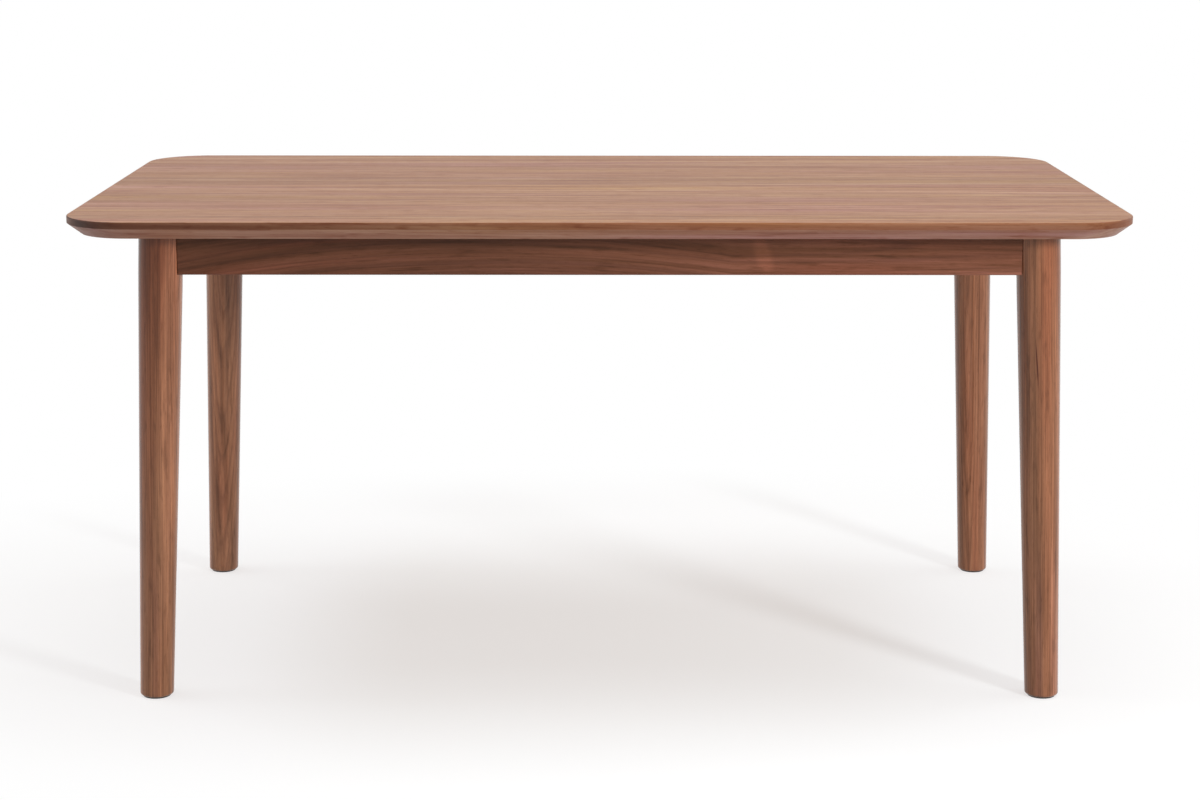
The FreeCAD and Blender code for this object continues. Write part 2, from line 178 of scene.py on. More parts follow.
def finishShader(tree, shader, colour, roughness, height, bump, values):
    # bump is a strength and a depth in metres
    relief = addNode(tree, "ShaderNodeBump", {}, {"Strength": bump[0], "Distance": bump[1], "Height": height})
    looks = {"Base Color": colour, "Roughness": roughness, "Normal": relief.outputs["Normal"]}
    for name, socket in looks.items():
        tree.links.new(socket, shader.inputs[name])
    for name, value in values.items():
        shader.inputs[name].default_value = value


def dress(nodeName, material):
    for slot in nodes[nodeName].material_slots:
        slot.material = material


# Walnut figure, shared by every wooden piece: growth rings round a pith that lies outside the piece,
# broad tone bands, fine fibres and open pores
figure = {
    "ringSpacing": 0.0047,       # metres between growth rings
    "ringUneven": 2.4,           # how many rings their width can shift them by
    "ringNoise": {"Scale": 0.37, "Detail": 1.0},
    "ringTones": ((0.0, 0.25), (0.45, 0.3), (0.84, 1.0), (1.0, 0.25)),    # over the width of one ring
    "bandNoise": {"Scale": 0.23, "Detail": 2.0, "Roughness": 0.6},        # tone bands are a few rings wide
    # noise fields: scale along the grain and across it, detail and roughness
    "wander": (0.9, 4.5, 1.0, 0.5),
    "waver": (4.0, 38.0, 2.0, 0.5),
    "cloud": (1.6, 14.0, 2.0, 0.5),
    "drift": (2.4, 54.0, 4.0, 0.66),
    "flecks": (19.0, 110.0, 2.0, 0.5),
    "streaks": (2.6, 95.0, 3.0, 0.62),
    "fibres": (14.0, 720.0, 3.0, 0.6),
    "pores": (55.0, 1500.0, 1.0, 0.5),
    "hue": (1.1, 24.0, 2.0, 0.5),
    "border": (3.0, 40.0, 2.0, 0.5),
    "wanderReach": 0.030,        # metres that the rings wander slowly, and waver more quickly
    "waverReach": 0.0035,
    "bandShare": 0.48,           # the tone is a mix of bands, clouds and drift
    "cloudShare": 0.20,
    "driftShare": 0.32,
    "fleckLimits": (0.55, 0.74),
    "poreLimits": (0.60, 0.70),
}


def grainField(tree, vector, name):
    along, across, detail, roughness = figure[name]
    return noise(tree, stretched(tree, vector, along, across), 1.0, detail, roughness).outputs


def ringField(tree, place, values):
    return addNode(tree, "ShaderNodeTexNoise", {"noise_dimensions": "1D"}, dict(values, W=place)).outputs[0]


def makeFigureGroup():
    tree = bpy.data.node_groups.new("walnutFigure", "ShaderNodeTree")
    face = tree.interface
    face.new_socket("Grain", in_out="INPUT", socket_type="NodeSocketVector")
    for name in ("Tone", "Rings", "Streaks", "Fibres", "Pores", "Hue", "Flecks"):
        face.new_socket(name, in_out="OUTPUT", socket_type="NodeSocketFloat")
    grain = addNode(tree, "NodeGroupInput", {}, {}).outputs["Grain"]

    # the pith wanders slowly along the log and wavers a little more quickly
    moved = grain
    for name, reach in (("wander", figure["wanderReach"]), ("waver", figure["waverReach"])):
        middle = vectorMath(tree, "SUBTRACT", {0: grainField(tree, grain, name)["Color"], 1: (0.5, 0.5, 0.5)})
        part = vectorMath(tree, "SCALE", {0: middle, "Scale": reach})
        moved = vectorMath(tree, "ADD", {0: moved, 1: part})
    flat = vectorMath(tree, "MULTIPLY", {0: moved, 1: (0.0, 1.0, 1.0)})
    radius = vectorMath(tree, "LENGTH", {0: flat}, "Value")
    turn = math1(tree, "DIVIDE", radius, figure["ringSpacing"])

    # rings of uneven width, each darkening slowly and ending in a thin dark line
    shift = ringField(tree, turn, figure["ringNoise"])
    uneven = math1(tree, "MULTIPLY_ADD", shift, figure["ringUneven"], turn)
    tones = [(place, (grey, grey, grey)) for place, grey in figure["ringTones"]]
    rings = ramp(tree, math1(tree, "FRACT", uneven), tones)

    cloud, fibres, pores = [grainField(tree, grain, name)[0] for name in ("cloud", "fibres", "pores")]
    onRings = ("drift", "flecks", "streaks", "hue")
    drift, flecks, streaks, hue = [grainField(tree, moved, name)[0] for name in onRings]
    bands = ringField(tree, turn, figure["bandNoise"])
    tone = total(tree, product(tree, bands, figure["bandShare"]), product(tree, cloud, figure["cloudShare"]))
    tone = math1(tree, "MULTIPLY_ADD", drift, figure["driftShare"], tone)
    results = {
        "Tone": tone, "Rings": rings, "Streaks": streaks, "Fibres": fibres, "Hue": hue,
        "Pores": fadeIn(tree, pores, figure["poreLimits"]),
        "Flecks": fadeIn(tree, flecks, figure["fleckLimits"]),
    }
    addNode(tree, "NodeGroupOutput", {}, results)
    return tree


figureGroup = makeFigureGroup()


def figureOf(tree, grain):
    return addNode(tree, "ShaderNodeGroup", {"node_tree": figureGroup}, {"Grain": grain}).outputs


# Colours of oiled black walnut, as linear values, with the finish of each group of pieces.
# The keys of a finish are inputs of the shader.
topWalnut = {
    "pale": (0.414, 0.216, 0.114),
    "middle": (0.354, 0.166, 0.080),
    "dark": (0.298, 0.120, 0.053),
    "late": (0.270, 0.106, 0.048),
    "russet": (0.338, 0.140, 0.096),
    "smoky": (0.392, 0.197, 0.066),
    "ringDepth": 0.42, "streakDepth": 0.38, "bandSpread": 0.13, "hueDepth": 0.88, "fleckDepth": 0.42,
    "roughness": (0.42, 0.54),
    "finish": {"Specular IOR Level": 0.22, "Coat Weight": 0.04, "Coat Roughness": 0.35, "Coat IOR": 1.5},
    "grainScale": (1.0, 1.0),            # figure along and across the grain, against the plain figure
    "shadePower": (0.58, 1.0, 1.30),     # how strongly each colour takes the streaks
}
legWalnut = {
    "pale": (0.452, 0.198, 0.100),
    "middle": (0.335, 0.136, 0.066),
    "dark": (0.196, 0.078, 0.037),
    "late": (0.125, 0.048, 0.024),
    "russet": (0.358, 0.118, 0.055),
    "smoky": (0.250, 0.118, 0.056),
    "ringDepth": 0.42, "streakDepth": 0.34, "bandSpread": 0.35, "hueDepth": 0.60, "fleckDepth": 0.26,
    "roughness": (0.36, 0.48),
    "finish": {"Specular IOR Level": 0.04, "Coat Weight": 1.0, "Coat Roughness": 0.12, "Coat IOR": 1.33},
    "grainScale": (1.3, 1.45),
    "shadePower": (0.90, 1.0, 1.10),
}
apronWalnut = {
    "pale": (0.400, 0.162, 0.083),
    "middle": (0.285, 0.106, 0.054),
    "dark": (0.165, 0.058, 0.030),
    "late": (0.110, 0.040, 0.022),
    "russet": (0.340, 0.100, 0.048),
    "smoky": (0.215, 0.092, 0.050),
    "ringDepth": 0.36, "streakDepth": 0.28, "bandSpread": 0.31, "hueDepth": 0.60, "fleckDepth": 0.26,
    "roughness": (0.36, 0.48),
    "finish": {"Specular IOR Level": 0.12, "Coat Weight": 0.12, "Coat Roughness": 0.25, "Coat IOR": 1.5},
    "grainScale": (1.0, 1.15),
    "shadePower": (0.95, 1.0, 1.35),
}

# How the figure turns into colour, shine and relief on all walnut pieces. Limits say where a field sets in
# and where it is full.
walnutShading = {
    "russetLimits": (0.50, 0.72),
    "smokyLimits": (0.50, 0.28),
    "smokyShare": 0.8,
    "ringLimits": (0.3, 1.0),
    "streakLimits": (0.34, 0.66),
    "fibreLimits": (0.3, 0.7),
    "fibreShades": (0.91, 1.09),
    "poreDepth": 0.28,
    "roughLimits": (0.2, 0.8),
    "poreRoughness": 0.12,       # added in the pores
    "fibreHeight": 0.5,          # against the depth of a pore
    "ringGroove": 0.4,
    "bump": (0.35, 0.00012),     # strength, and depth in metres
}

# The moulded edge of the top: a painted highlight on the front arris and painted shade on the back one, an
# upright band with painted shade that is darker to the left, and the bevel below with painted light and shade
topEdge = {
    "arrisHighlight": (1.40, 1.38, 1.40),
    "arrisShade": (0.72, 0.74, 0.80),
    # painted shade on the upright band, darkest near the far left corner and lightest right of the middle
    "band": [
        (0.00, (0.50, 0.42, 0.42)),
        (0.048, (0.15, 0.11, 0.11)),
        (0.20, (0.42, 0.34, 0.36)),
        (0.572, (0.72, 0.61, 0.65)),
        (0.79, (0.65, 0.56, 0.61)),
        (0.952, (0.52, 0.44, 0.46)),
        (1.00, (0.66, 0.53, 0.51)),
    ],
    # painted light and shade on the bevel, its blue lift a painted reflection of the pale floor
    "bevel": [
        (0.00, (0.95, 0.92, 1.00)),
        (0.048, (0.94, 0.99, 1.48)),
        (0.20, (0.89, 0.84, 1.04)),
        (0.572, (0.95, 0.93, 1.15)),
        (0.79, (0.89, 0.90, 1.13)),
        (0.952, (0.93, 1.08, 1.56)),
        (1.00, (0.90, 0.88, 0.98)),
    ],
    "reach": 1.05,              # the tones run from minus this to this along X
    "turnShare": 0.25,          # on the round corners the side that is faced counts too
    "endShare": 0.80,           # on the ends of the boards streaks and tones show this much less
    "endTone": 0.86,
    "endLimits": (0.40, 0.70),
    "arrisLimits": (0.9999, 0.995),      # the rise of a face tells the parts of the edge apart
    "bandLimits": (0.985, 0.88),
    "bevelLimits": (-0.20, -0.60),
    "backLimits": (-0.05, 0.0),
}

# Single soft marks on the table, some of them patches of painted highlight and sheen: the place, half sizes
# along its own X, Y and Z, the turn in degrees and the shade
marksAndHighlights = {
    "top": [
        ((-0.001, 0.353, 0.755), (0.026, 0.007, 0.01), (0, 0, 1), (0.90, 0.85, 0.86)),
        ((0.512, -0.129, 0.755), (0.020, 0.006, 0.01), (0, 0, -3), (0.86, 0.78, 0.80)),
        ((0.596, 0.079, 0.755), (0.014, 0.006, 0.01), (0, 0, 2), (0.86, 0.78, 0.80)),
        ((0.119, 0.252, 0.755), (0.022, 0.006, 0.01), (0, 0, -1), (0.90, 0.84, 0.86)),
        # a painted highlight along the front edge of the top
        ((0.0, -0.449, 0.755), (2.5, 0.052, 0.004), (0, 0, 0), (1.25, 1.27, 1.22)),
    ],
    "apron_front": [
        ((0.246, -0.353, 0.693), (0.015, 0.03, 0.034), (0, -20, 0), (1.34, 1.32, 1.34)),
    ],
    "leg_front_right": [
        ((0.663, -0.369, 0.527), (0.0013, 0.01, 0.043), (0, -5.2, 0), (0.36, 0.20, 0.18)),
        ((0.681, -0.380, 0.07), (0.0075, 0.03, 0.21), (0, -2.1, 0), (0.66, 0.66, 0.74)),
        # a lighter patch by the right rim low on the leg: mostly painted sheen, partly lighter wood
        ((0.705, -0.372, 0.07), (0.0090, 0.03, 0.21), (0, -2.1, 0), (1.20, 1.22, 1.40)),
    ],
    "leg_front_left": [
        ((-0.687, -0.382, 0.07), (0.0065, 0.03, 0.21), (0, 2.1, 0), (0.76, 0.73, 0.75)),
    ],
}
markLimits = (1.15, 0.35)        # in half sizes, where a mark sets in and where it is full


def tintMarksAndHighlights(tree, colour, spots):
    # each mark tints softly: marks of the figure, and patches of painted highlight and sheen
    for place, size, degrees, shade in spots:
        turn = [math.radians(angle) for angle in degrees]
        strength = fadeIn(tree, distanceFrom(tree, place, size, turn), markLimits)
        colour = tinted(tree, colour, mixColour(tree, strength, white, opaque(shade)))
    return colour


def paintEdgeLightAndShade(tree, colour):
    # painted highlight on the front arris, painted shade on the back arris, and painted light and shade on
    # the band and bevel, chosen by the rise of each face and its place along X
    facing = axesOf(tree, coordinates(tree, "Normal"))
    along = axesOf(tree, coordinates(tree))["X"]
    along = math1(tree, "MULTIPLY_ADD", facing["X"], topEdge["turnShare"], along)
    across = toRange(tree, along, -topEdge["reach"], topEdge["reach"], 0.0, 1.0)
    behind = toRange(tree, facing["Y"], *topEdge["backLimits"], 0.0, 1.0)
    arrisLightAndShade = mixColour(tree, behind, opaque(topEdge["arrisHighlight"]), opaque(topEdge["arrisShade"]))
    shade = white
    for limits, part in (("arrisLimits", arrisLightAndShade), ("bandLimits", ramp(tree, across, topEdge["band"])),
                         ("bevelLimits", ramp(tree, across, topEdge["bevel"]))):
        shade = mixColour(tree, fadeIn(tree, facing["Z"], topEdge[limits]), shade, part)
    return tinted(tree, colour, shade)


def endGrain(tree):
    # how much a face looks along the boards, as the ends and parts of the round corners do
    facing = axesOf(tree, coordinates(tree, "Normal"))["X"]
    return fadeIn(tree, math1(tree, "ABSOLUTE", facing), topEdge["endLimits"], topEdge["endShare"])


def tintHeartAndShade(tree, colour, heartAndShade):
    # one side of a piece is darker, partly heartwood and partly painted shade of the light, and the other
    # side can take painted shade too: the border runs at a small slant, and towards the foot the dark wood
    # and the painted shade may even out
    local = localTo(tree, heartAndShade["foot"], heartAndShade["turn"])
    side = vectorMath(tree, "DOT_PRODUCT", {0: local, 1: heartAndShade["side"]}, "Value")
    side = math1(tree, "MULTIPLY_ADD", grainField(tree, local, "border")[0], heartAndShade["waver"], side)
    dark = fadeIn(tree, side, (heartAndShade["from"], heartAndShade["to"]))
    shade = mixColour(tree, dark, opaque(heartAndShade["pale"]), opaque(heartAndShade["dark"]))
    share = toRange(tree, axesOf(tree, local)["X"], 0.0, heartAndShade["length"], heartAndShade["low"], 1.0)
    return mixColour(tree, share, colour, tinted(tree, colour, shade))


def sweepGrain(tree, grain, sweep):
    # the log bends: its grain drops away on both sides of one place
    axes = axesOf(tree, grain)
    past = difference(tree, axes["X"], sweep["from"])
    before = math1(tree, "MINIMUM", past, 0.0)
    after = math1(tree, "MINIMUM", math1(tree, "MAXIMUM", past, 0.0), sweep["reach"])
    bent = axes["Z"]
    for part, bend in ((before, sweep["bend"]), (after, sweep["bendAfter"])):
        bent = total(tree, bent, product(tree, product(tree, part, part), bend))
    return point(tree, axes["X"], axes["Y"], bent), axes["X"]


def makeWalnut(name, wood, pith, turn, tone=1.0, sweep=None, heartAndShade=None, spots=(), edged=False):
    material, tree, shader = newMaterial(name)
    shared = walnutShading
    grain = localTo(tree, pith, turn)
    if sweep:
        grain, along = sweepGrain(tree, grain, sweep)
    parts = figureOf(tree, stretched(tree, grain, *wood["grainScale"]))

    band = toRange(tree, parts["Tone"], 0.5 - wood["bandSpread"], 0.5 + wood["bandSpread"], 0.0, 1.0)
    hue = parts["Hue"]
    if edged:
        end = endGrain(tree)
        band = towards(tree, end, band, 0.5)
        hue = towards(tree, end, hue, 0.5)
    colour = ramp(tree, band, [(0.0, wood["dark"]), (0.5, wood["middle"]), (1.0, wood["pale"])], tone)
    russet = fadeIn(tree, hue, shared["russetLimits"], wood["hueDepth"])
    smoky = fadeIn(tree, hue, shared["smokyLimits"], wood["hueDepth"] * shared["smokyShare"])
    line = toRange(tree, parts["Rings"], *shared["ringLimits"], 0.0, wood["ringDepth"])
    for share, shade in ((russet, wood["russet"]), (smoky, wood["smoky"]), (line, wood["late"])):
        colour = mixColour(tree, share, colour, opaque(shade, tone))

    depth = wood["streakDepth"]
    streak = toRange(tree, parts["Streaks"], *shared["streakLimits"], 1 - depth, 1 + depth)
    fibre = toRange(tree, parts["Fibres"], *shared["fibreLimits"], *shared["fibreShades"])
    shade = product(tree, streak, fibre)
    for part, depth in (("Pores", shared["poreDepth"]), ("Flecks", wood["fleckDepth"])):
        shade = product(tree, shade, toRange(tree, parts[part], 0.0, 1.0, 1.0, 1.0 - depth))
    if edged:
        shade = towards(tree, end, shade, topEdge["endTone"])
    # painted shade: darker towards one end of the piece, where the lamp's light falls off, partly darker wood
    if sweep:
        far = toRange(tree, along, sweep["dimFrom"], sweep["dimTo"], sweep["falloffShade"], 1.0)
        shade = product(tree, shade, far)
    powers = {place: math1(tree, "POWER", shade, power) for place, power in enumerate(wood["shadePower"])}
    colour = tinted(tree, colour, addNode(tree, "ShaderNodeCombineColor", {}, powers).outputs[0])
    # painted shade on one side of the piece and under the top, partly darker heartwood
    if heartAndShade:
        colour = tintHeartAndShade(tree, colour, heartAndShade)
    # single marks of the figure, and patches of painted highlight and sheen
    colour = tintMarksAndHighlights(tree, colour, spots)
    # painted highlight and shade on the moulded edge of the top
    if edged:
        colour = paintEdgeLightAndShade(tree, colour)

    roughness = toRange(tree, parts["Fibres"], *shared["roughLimits"], *wood["roughness"])
    roughness = total(tree, roughness, product(tree, parts["Pores"], shared["poreRoughness"]))
    height = difference(tree, product(tree, parts["Fibres"], shared["fibreHeight"]), parts["Pores"])
    height = difference(tree, height, product(tree, parts["Rings"], shared["ringGroove"]))
    finishShader(tree, shader, colour, roughness, height, shared["bump"], wood["finish"])
    return material


# The grain of a board or rail is tilted by an angle and turned sideways by a share of it
boardTurnShare = 1 / 3
railTurnShare = 1 / 2

# Top boards, flat sawn, each from another place in the log. The pith lies below or above the board.
boards = {
    "top_board_1": {"depth": -0.105, "shift": 0.9, "aside": 0.020, "tilt": 0.9, "tone": 0.96},
    "top_board_2": {"depth": -0.130, "shift": 4.3, "aside": -0.030, "tilt": -0.7, "tone": 1.04},
    "top_board_3": {"depth": 0.150, "shift": 7.8, "aside": 0.045, "tilt": 0.5, "tone": 0.99},
    "top_board_4": {"depth": -0.090, "shift": 11.2, "aside": 0.010, "tilt": -1.0, "tone": 1.05},
    "top_board_5": {"depth": 0.120, "shift": 15.1, "aside": -0.035, "tilt": 0.8, "tone": 0.93},
    "top_board_6": {"depth": -0.140, "shift": 18.7, "aside": 0.025, "tilt": 0.6, "tone": 1.02},
    "top_board_7": {"depth": 0.100, "shift": 22.4, "aside": 0.000, "tilt": -0.9, "tone": 0.98},
    "top_board_8": {"depth": -0.120, "shift": 31.3, "aside": -0.040, "tilt": 0.7, "tone": 1.02},
}
for name, board in boards.items():
    low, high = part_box(name)
    middle = (low + high) / 2
    pith = (board["shift"], middle.y + board["aside"], middle.z + board["depth"])
    tilt = (0.0, math.radians(board["tilt"]), math.radians(board["tilt"] * boardTurnShare))
    spots = [mark for mark in marksAndHighlights["top"] if low.y < mark[0][1] < high.y]
    dress(name, makeWalnut(name + "_walnut", topWalnut, pith, tilt, board["tone"], spots=spots, edged=True))
print("top boards dressed")

# Legs, turned from straight blanks. The grain follows the leaning axis of each leg.
# On each leg one side, and the upper part more than the foot, is darker: partly heartwood, partly painted
# shade of the light
legs = {
    "front_left": {
        "away": 0.055, "side": 205, "shift": 1.7, "lean": 0.004, "tone": 1.15,
        "heartAndShade": {"side": 180, "slant": 0.046, "from": -0.014, "to": 0.012, "low": 0.0,
                  "pale": (1.05, 1.06, 1.10), "dark": (0.50, 0.36, 0.27)},
    },
    "front_right": {
        "away": 0.060, "side": 330, "shift": 5.2, "lean": 0.006, "tone": 1.05,
        "heartAndShade": {"side": 190, "slant": 0.0, "from": 0.000, "to": 0.026, "low": 0.6,
                  "pale": (0.74, 0.70, 0.66), "dark": (0.84, 0.84, 0.83)},
    },
    "back_left": {
        "away": 0.050, "side": 92, "shift": 8.6, "lean": 0.016, "tone": 1.26,
        "heartAndShade": {"side": 0, "slant": 0.0, "from": -0.020, "to": 0.020, "low": 1.0,
                  "pale": (1.02, 1.02, 1.02), "dark": (0.76, 0.82, 0.88)},
    },
    "back_right": {
        "away": 0.065, "side": 250, "shift": 12.9, "lean": 0.006, "tone": 1.10,
        "heartAndShade": {"side": 180, "slant": 0.0, "from": -0.020, "to": 0.020, "low": 0.6,
                  "pale": (0.88, 0.86, 0.88), "dark": (0.96, 0.94, 0.94)},
    },
}
legShape = {"headRadius": 0.0335, "heartWaver": 0.010}


def legAxis(corner):
    legLow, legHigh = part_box("leg_" + corner)
    glideLow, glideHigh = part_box("foot_glide_" + corner)
    foot = (glideLow + glideHigh) / 2
    outX = math.copysign(1.0, foot.x)
    outY = math.copysign(1.0, foot.y)
    headX = min(abs(legLow.x), abs(legHigh.x)) + legShape["headRadius"]
    headY = min(abs(legLow.y), abs(legHigh.y)) + legShape["headRadius"]
    return foot, Vector((outX * headX, outY * headY, legHigh.z))


def alongAxis(axis):
    return Vector((1, 0, 0)).rotation_difference(axis).to_euler()


def legHeartAndShade(heartAndShade, foot, head):
    # the dark side as a direction in the leg's own frame, whose X runs up the axis
    angle = math.radians(heartAndShade["side"])
    turn = alongAxis(head - foot)
    side = turn.to_matrix().inverted() @ Vector((math.cos(angle), math.sin(angle), 0))
    height = (head - foot).length
    middle = (heartAndShade["slant"] * height + legShape["heartWaver"]) / 2
    placed = dict(heartAndShade)
    placed.update(foot=foot, turn=turn, length=height, waver=legShape["heartWaver"])
    placed["side"] = (heartAndShade["slant"], side.y, side.z)
    placed["from"] = heartAndShade["from"] + middle
    placed["to"] = heartAndShade["to"] + middle
    return placed


for corner, leg in legs.items():
    foot, head = legAxis(corner)
    side = math.radians(leg["side"])
    away = Vector((math.cos(side), math.sin(side), 0))
    # the pith leans away from the leg upwards, so rings run out on the surface in long arches
    axis = ((head - foot).normalized() + away * leg["lean"]).normalized()
    pith = foot + away * leg["away"] - axis * leg["shift"]
    heartAndShade = legHeartAndShade(leg["heartAndShade"], foot, head)
    name = "leg_" + corner
    dress(name, makeWalnut(name + "_walnut", legWalnut, pith, alongAxis(axis), leg["tone"], heartAndShade=heartAndShade,
                           spots=marksAndHighlights.get(name, ())))
print("legs dressed")

# Aprons and cross rails
rails = {
    "apron_front": {
        "depth": 0.045, "lift": 0.065, "shift": -2.6, "tilt": 0.6, "tone": 0.69,
        # the grain bends, and towards the left end the apron is darker: painted shade of the main lamp's
        # falloff, partly darker wood
        "sweep": {"from": 2.46, "bend": 0.19, "bendAfter": 0.20, "reach": 0.34,
                  "dimFrom": 1.9, "dimTo": 2.9, "falloffShade": 0.70},
        # painted shade under the overhang of the top darkens the upper part, partly darker wood, and painted
        # light lifts the lower part
        "heartAndShade": {"foot": (0.0, -0.353, 0.695), "turn": (0.0, 0.0, 0.0), "side": (0.0, 0.0, 1.0),
                  "waver": 0.012, "from": -0.026, "to": 0.020, "low": 1.0, "length": 1.0,
                  "pale": (1.09, 1.09, 1.26), "dark": (0.79, 0.78, 0.79)},
    },
    "apron_back": {"depth": -0.050, "lift": 0.050, "shift": 6.4, "tilt": -1.0, "tone": 0.96},
    "apron_left": {"depth": 0.050, "lift": -0.060, "shift": 9.9, "tilt": 1.0, "tone": 0.96},
    "apron_right": {"depth": -0.045, "lift": 0.055, "shift": 13.3, "tilt": -1.1, "tone": 1.0},
    "cross_rail_left": {"depth": 0.060, "lift": 0.040, "shift": 17.5, "tilt": 0.8, "tone": 1.0},
    "cross_rail_right": {"depth": -0.060, "lift": 0.045, "shift": 20.8, "tilt": -0.8, "tone": 1.05},
}
for name, rail in rails.items():
    low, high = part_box(name)
    middle = (low + high) / 2
    runsAcross = (high.y - low.y) > (high.x - low.x)
    tilt = math.radians(rail["tilt"])
    if runsAcross:
        pith = (middle.x + rail["depth"], rail["shift"], middle.z + rail["lift"])
        turn = (tilt, 0.0, math.radians(90))
    else:
        pith = (rail["shift"], middle.y + rail["depth"], middle.z + rail["lift"])
        turn = (0.0, tilt, tilt * railTurnShare)
    dress(name, makeWalnut(name + "_walnut", apronWalnut, pith, turn, rail["tone"], rail.get("sweep"),
                           rail.get("heartAndShade"), marksAndHighlights.get(name, ())))
print("aprons and rails dressed")


# Plain woods of the hidden pieces. The pith lies beside each block, and further along for each next one.
plainWoods = {
    "block": {"light": (0.50, 0.31, 0.16), "dark": (0.36, 0.20, 0.095), "roughness": (0.50, 0.66)},
    "dowel": {"light": (0.62, 0.43, 0.24), "dark": (0.48, 0.30, 0.15), "roughness": (0.47, 0.63)},
    "blockPith": (0.05, 0.7, -0.06),
    "blockTurn": 45.0,
    "dowelPith": (0.0, 0.0, 0.6),
    "toneShare": 0.6,
    "ringShare": 0.3,
    "lightAt": 0.25,
    "darkAt": 0.7,
    "poreDepth": 0.35,
    "poreTone": 0.6,
    "roughLimits": (0.2, 0.8),
    "bump": (0.3, 0.0002),
}


def makePlainWood(name, wood, pith, turn):
    material, tree, shader = newMaterial(name)
    shared = plainWoods
    parts = figureOf(tree, localTo(tree, pith, turn))
    tone = product(tree, parts["Tone"], shared["toneShare"])
    tone = total(tree, tone, product(tree, parts["Rings"], shared["ringShare"]))
    colour = ramp(tree, tone, [(shared["lightAt"], wood["light"]), (shared["darkAt"], wood["dark"])])
    pore = product(tree, parts["Pores"], shared["poreDepth"])
    colour = mixColour(tree, pore, colour, opaque(wood["dark"], shared["poreTone"]))
    roughness = toRange(tree, parts["Fibres"], *shared["roughLimits"], *wood["roughness"])
    finishShader(tree, shader, colour, roughness, parts["Fibres"], shared["bump"], {})
    return material


for number, corner in enumerate(corners):
    low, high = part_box("corner_block_" + corner)
    middle = (low + high) / 2
    slant = math.copysign(math.radians(plainWoods["blockTurn"]), -middle.x * middle.y)
    aside, further, lift = plainWoods["blockPith"]
    pith = (middle.x + aside, middle.y + further * number, middle.z + lift)
    name = "corner_block_" + corner
    dress(name, makePlainWood(name + "_wood", plainWoods["block"], pith, (0.0, 0.0, slant)))
dowelPith = plainWoods["dowelPith"]
dress("apron_dowels", makePlainWood("dowelBeech", plainWoods["dowel"], dowelPith, (0.0, 0.0, 0.0)))


# Plated steel and scuffed nylon: two tones in a mottling, with fine specks in relief.
# Mottling and specks are the scale, detail and roughness of a noise.
plated = {
    "toneLimits": (0.35, 0.62), "softTones": False, "mottling": (160.0, 4.0, 0.6),
    "specks": (1400.0, 2.0, 0.5), "bump": (0.2, 0.00005), "metallic": 1.0,
}
fittings = {
    "zincPlate": {
        **plated, "tones": ((0.48, 0.49, 0.50), (0.66, 0.67, 0.66)), "roughness": (0.41, 0.28),
        "pieces": ("hanger_bolts", "bolt_washers", "bolt_nuts", "glide_nails", "rail_washers", "top_clips"),
    },
    "screwPlate": {
        **plated, "tones": ((0.42, 0.39, 0.31), (0.62, 0.58, 0.47)), "roughness": (0.38, 0.25),
        "pieces": ("corner_block_screws", "top_clip_screws", "rail_screws"),
    },
    "glideNylon": {
        "tones": ((0.030, 0.025, 0.021), (0.075, 0.066, 0.058)), "toneLimits": (0.52, 0.68),
        "softTones": True, "roughness": (0.42, 0.65), "mottling": (240.0, 5.0, 0.7),
        "specks": (2200.0, 2.0, 0.5), "bump": (0.25, 0.00008), "metallic": 0.0,
        "pieces": ["foot_glide_" + corner for corner in corners],
    },
}
roughMottling = (0.3, 0.7)       # the roughness follows the mottling between these


def makeFitting(name, look):
    material, tree, shader = newMaterial(name)
    place = coordinates(tree)
    mottling = noise(tree, place, *look["mottling"]).outputs[0]
    specks = noise(tree, place, *look["specks"]).outputs[0]
    share = toRange(tree, mottling, *look["toneLimits"], 0.0, 1.0, look["softTones"])
    colour = mixColour(tree, share, opaque(look["tones"][0]), opaque(look["tones"][1]))
    roughness = toRange(tree, mottling, *roughMottling, *look["roughness"])
    finishShader(tree, shader, colour, roughness, specks, look["bump"], {"Metallic": look["metallic"]})
    return material


fittingMaterials = {}
for name, look in fittings.items():
    fittingMaterials[name] = makeFitting(name, look)
    for piece in look["pieces"]:
        dress(piece, fittingMaterials[name])
print("fittings dressed")

# Screws and hanger bolts grow on the places of the plain CAD ones, with cut threads and cross recesses
woodScrew = {
    "Segments": 20,
    "Head Radius": 0.0040,
    "Head Height": 0.0026,
    "Shank Radius": 0.0020,
    "Core Radius": 0.00142,
    "Plain Share": 0.34,         # of the length, without thread
    "Pitch": 0.00180,
    "Tip Length": 0.0042,
    "Recess Reach": 0.0047,
    "Recess Width": 0.00115,
    "Recess Depth": 0.0017,
    "Seed": 5,
}
hangerBolt = {
    "Segments": 20,
    "Shank Radius": 0.0036,
    "Crest Radius": 0.0040,
    "Nut Thread": 0.030,         # length of the thread that takes the nut
    "Nut Core": 0.00338,
    "Nut Pitch": 0.00125,
    "Wood Thread": 0.043,
    "Wood Core": 0.00290,
    "Wood Pitch": 0.0030,
    "Tip Length": 0.0060,
    "Tip Radius": 0.0009,
    "Chamfer": 0.0008,
    "Seed": 11,
}
fasteners = {
    "hairline": 0.000001,        # rail of a turned body, closed up afterwards
    "weld": 0.000004,
    "sharpAngle": 34.0,
    "rimDepth": 0.0004,          # tells the two ends of a solid apart
    "sunkShare": 0.25,           # how far a ridge reaches into the core, as a share of its height
    "woodRidgeShare": 0.5,       # width of a ridge, as a share of the pitch
    "nutRidgeShare": 0.84,
    "tipShare": 0.06,            # what is left of a screw's ridge at its tip
    "recessTaperShare": 0.42,    # width of the recess at its deepest, as a share of that at the top
    # outline of the head, as shares of its radius and its height
    "crownShares": ((0.0, -1.0), (0.42, -0.97), (0.70, -0.83), (0.89, -0.56), (0.98, -0.24), (0.99, 0.0)),
}


